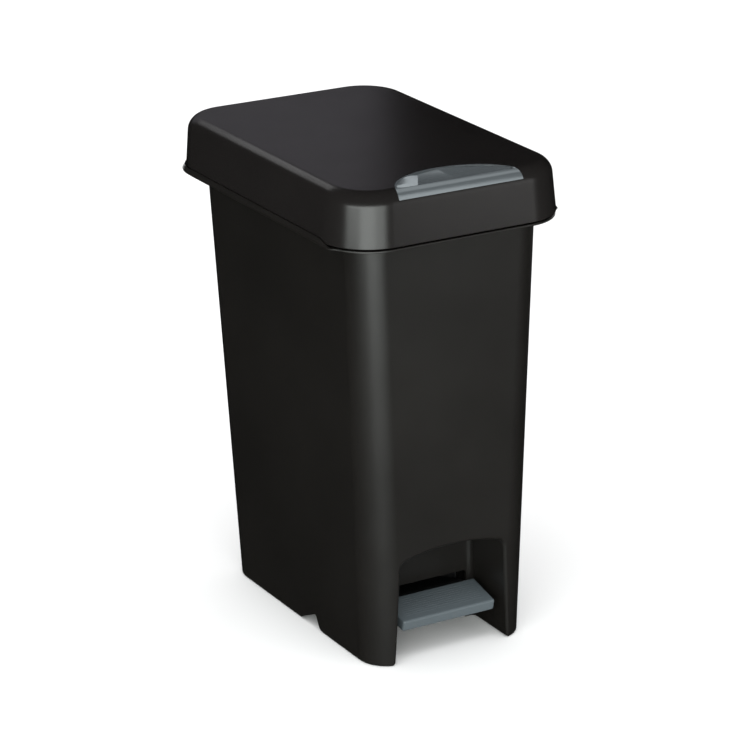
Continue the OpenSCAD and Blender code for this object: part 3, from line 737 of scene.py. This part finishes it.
def make_tread():
    stops = [(e, -TREAD_T + h) for e, h in rounding(1.2, 4)] + rounding(2.0, 6, rising=False)
    tread = solid("tread_pad", [
        level(plan(TREAD_HALF - e, -TREAD_REACH + e, TREAD_REACH - e, TREAD_R - e * 0.9, 10, 6), z)
        for e, z in stops])
    cutters = [block("pocket", (-38.4, -13.5, -12), (38.4, 20, -3.4))]
    for i in range(GROOVES):
        y = GROOVE_START + i * GROOVE_STEP
        groove = [(y - 0.55, 0.3), (y - 0.3, -0.08), (y, -0.16), (y + 0.3, -0.08), (y + 0.55, 0.3)]
        cutters.append(along_x("groove", groove, -GROOVE_HALF, GROOVE_HALF))
    for x in (-TREAD_SCREW_X, TREAD_SCREW_X):
        cutters.append(screw_hole("Z", (x, 2, -9.6), 8.3))
    tread = cut(tread, *cutters)
    lean = Matrix.Rotation(math.radians(TREAD_SLOPE), 4, "X")
    tread.data.transform(Matrix.Translation((0, TREAD_Y * MM, TREAD_Z * MM)) @ lean)
    return dress(tread, SLATE, "pedal", ["pedal_tread"])


# ---------------------------------------------------------------- bucket


def make_bucket():
    low, high = corners("inner_bucket")
    floor, top = low[2], high[2]
    rim = top - 2.0
    wall = BUCKET_WALL

    def layers(inset, stops, front=BUCKET_FRONT, narrower=0):
        """Rings of the tapered body. stops are (height, extra inset)."""
        rings = []
        for z, e in stops:
            rise = (z - floor) / (rim - floor)
            rings.append(level(plan(mix(*BUCKET_HALF, rise) - narrower - inset - e,
                                    mix(*front, rise) + inset + e,
                                    mix(*BUCKET_BACK, rise) - narrower - inset - e,
                                    BUCKET_R - inset - e * 0.8, 16, 2), z))
        return rings

    def well(inset, stops):
        """Rings of the part below the step, which lies behind the toe recess."""
        return layers(inset, stops, WELL_FRONT, WELL_IN)

    def eased(start, r, steps=6):
        return [(start + h, e) for e, h in rounding(r, steps)]

    body = eased(STEP_Z, 5) + [(z, 0) for z in (150, 210, 270, 330)] + [(top, 0)]
    bucket = solid("bucket_liner", layers(0, body))
    bucket = unite(bucket, solid("well", well(0, eased(floor, 5) + [(90, 0), (STEP_Z + 4, 0)])))
    stops = [(rim + h, e) for e, h in rounding(0.7, 3)]
    stops += [(top + h, e) for e, h in rounding(0.9, 3, rising=False)]
    parts = [solid("flange", [level(plan(FLANGE_HALF - e, FLANGE_FRONT + e, FLANGE_BACK - e,
                                         SHELL_R - e, 24, 4), z) for z, e in stops])]
    stops = [(rim, 0.7, 0), (rim, 0, 0.7), (top, 0, -0.7), (top, 0.7, 0)]
    for side in (-1, 1):
        parts.append(solid("tab", [level(plan_tab(side, high[0], e), z + h) for z, e, h in stops]))
    bucket = unite(bucket, *parts)
    hollow = eased(STEP_Z + wall, 3.5) + [(z, 0) for z in (150, 240, 330)]
    hollow += [(top - 1.2, 0), (top - 0.5, -0.25), (top, -0.9), (top + 1, -1.2)]
    deep = eased(floor + wall, 4) + [(95, 0), (STEP_Z + wall - 1, 0), (STEP_Z + wall + 3, 0)]
    bucket = cut(bucket, solid("hollow", layers(wall, hollow)), solid("deep", well(wall, deep)))
    return dress(bucket, LINER, "bucket", ["inner_bucket"])


def plan_tab(side, reach, inset):
    """Plan of a finger tab on the bucket's rim."""
    front, back = TAB_Y
    points = round_outline([(TAB_X, front + inset), (reach - inset, front + inset),
                            (reach - inset, back - inset), (TAB_X, back - inset)],
                           [0, TAB_R, TAB_R, 0])
    return points if side > 0 else [(-x, y) for x, y in reversed(points)]


shell_piece = make_shell()
make_lid()
grip_piece = make_grip()
make_tread()
make_bucket()

# ---------------------------------------------------------------- carried CAD nodes

FINISH = {
    "rod_guide_upper": DARK, "rod_guide_lower": DARK, "axle_clip_left": DARK, "axle_clip_right": DARK,
    "lift_arm": DARK, "pedal_lever": DARK, "lever_bush_left": NYLON, "lever_bush_right": NYLON,
    "rod_head": NYLON, "rod_foot": NYLON, "lever_axle": STEEL[0], "hinge_pin_left": STEEL[0],
    "hinge_pin_right": STEEL[0], "lift_pin": STEEL[0], "lift_rod": STEEL[2],
    "rod_guide_screws": STEEL[1], "lift_arm_screws": STEEL[2], "tread_screws": STEEL[2]}
# Width of the softened edges, in metres
MOULDED_EDGE, FINE_EDGE = 0.0006, 0.00035
for name, material in FINISH.items():
    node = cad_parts[name]
    node.data.materials.clear()
    node.data.materials.append(material)
    edge = node.modifiers.new("soft_edges", "BEVEL")
    edge.width = MOULDED_EDGE if material is DARK else FINE_EDGE
    edge.segments = 2
    edge.limit_method = "ANGLE"
    edge.angle_limit = math.radians(40)

# ---------------------------------------------------------------- stage, light and camera


def stage():
    """A pale floor just below the bin, and a white world that leaves no reflections."""
    reach = 6000
    square = [(-reach, -reach), (reach, -reach), (reach, reach), (-reach, reach)]
    floor = solid("floor", [level(square, z) for z in (-20.0, -0.2)])
    mat = bpy.data.materials.new("pale_floor")
    mat.use_nodes = True
    shader = mat.node_tree.nodes["Principled BSDF"]
    shader.inputs["Base Color"].default_value = (0.93, 0.93, 0.93, 1)
    shader.inputs["Roughness"].default_value = 0.9
    shader.inputs["Specular IOR Level"].default_value = 0.0
    floor.data.materials.append(mat)
    floor.visible_glossy = False

    world = bpy.data.worlds.new("studio")
    bpy.context.scene.world = world
    world.use_nodes = True
    back = world.node_tree.nodes["Background"]
    back.inputs["Color"].default_value = (1, 1, 1, 1)
    back.inputs["Strength"].default_value = 1.0
    world.cycles_visibility.glossy = False


def softbox(name, azimuth, elevation, distance, size, power, colour=(1, 1, 1), target=(0, 0, 0.2)):
    """An area light that shines at target. Azimuth 0 is in front, and positive to the right."""
    a, e = math.radians(azimuth), math.radians(elevation)
    back = Vector((math.sin(a) * math.cos(e), -math.cos(a) * math.cos(e), math.sin(e)))
    lamp = bpy.data.lights.new(name, "AREA")
    lamp.shape = "RECTANGLE"
    lamp.size, lamp.size_y = size
    lamp.energy = power
    lamp.color = colour
    obj = bpy.data.objects.new(name, lamp)
    obj.location = Vector(target) + back * distance
    obj.rotation_mode = "QUATERNION"
    obj.rotation_quaternion = (-back).to_track_quat("-Z", "Y")
    obj.visible_camera = False
    bpy.context.scene.collection.objects.link(obj)
    return obj


stage()
COOL = (0.95, 1.0, 0.97)
# The key lights reach from low up to KEY_TOP. Any higher, and from behind the lid's top turns white
KEY_TOP = 0.7
for name, azimuth, width, low, power in (
        ("key_left", -58, 0.8, 0.2, 5.4), ("key", -29, 0.8, 0.0, 9.2),
        ("key_right", -4, 0.5, 0.0, 4.0)):
    softbox(name, azimuth, 0, 1.5, (width, KEY_TOP - low), power, COOL,
            target=(0, 0, (KEY_TOP + low) / 2))
softbox("fill_right", 34, 0, 2.2, (0.6, 1.0), 2.2, target=(0, 0, 0.5))
softbox("top", -25, 68, 2.4, (1.6, 1.0), 13, (0.97, 0.98, 1.0)).visible_glossy = False
softbox("back", 149.3, 21, 0.85, (0.7, 0.4), 0.19, (0.93, 0.90, 1.0), target=(-0.285, 0.17, 0.4))
# Lights that act on the grip only
grip_lights = bpy.data.collections.new("grip_lights")
grip_lights.objects.link(grip_piece)
GRIP_SPOT = (-0.03, -0.13, 0.398)
for name, azimuth, elevation, distance, size, power in (
        ("grip_left", 125, 26, 1.1, (0.5, 0.5), 1.25), ("grip_ridge", 110, 58, 1.2, (0.6, 0.3), 0.95),
        ("grip_band", 30, 40, 1.2, (0.5, 0.8), 4.3)):
    lamp = softbox(name, azimuth, elevation, distance, size, power, (0.88, 0.96, 1.0), GRIP_SPOT)
    lamp.light_linking.receiver_collection = grip_lights
# Lights that act on the shell only, so that its back can be read
shell_lights = bpy.data.collections.new("shell_lights")
shell_lights.objects.link(shell_piece)
for name, azimuth, power in (("back_key_right", 112, 2.0), ("back_key", 168, 3.0)):
    lamp = softbox(name, azimuth, 0, 1.6, (0.4, 0.6), power, target=(0, 0, 0.3))
    lamp.light_linking.receiver_collection = shell_lights
softbox("back_left", 178, 34, 1.1, (0.5, 0.16), 0.36, target=(-0.1, 0, 0.4))
softbox("back_fill", 185, 12, 2.4, (1.2, 1.4), 14).visible_glossy = False

camera = bpy.data.cameras.new("camera")
camera.lens = 153.08
camera.sensor_width = 36.0
camera.shift_x = -0.0031
camera.shift_y = 0.0014
camera.clip_end = 50.0
view = bpy.data.objects.new("camera", camera)
view.location = (-1.2467, -2.1203, 1.1073)
view.rotation_mode = "QUATERNION"
view.rotation_quaternion = (Vector((0, -0.0176, 0.2)) - view.location).to_track_quat("-Z", "Y")
bpy.context.scene.collection.objects.link(view)
bpy.context.scene.camera = view
bpy.context.scene.view_settings.view_transform = "Standard"
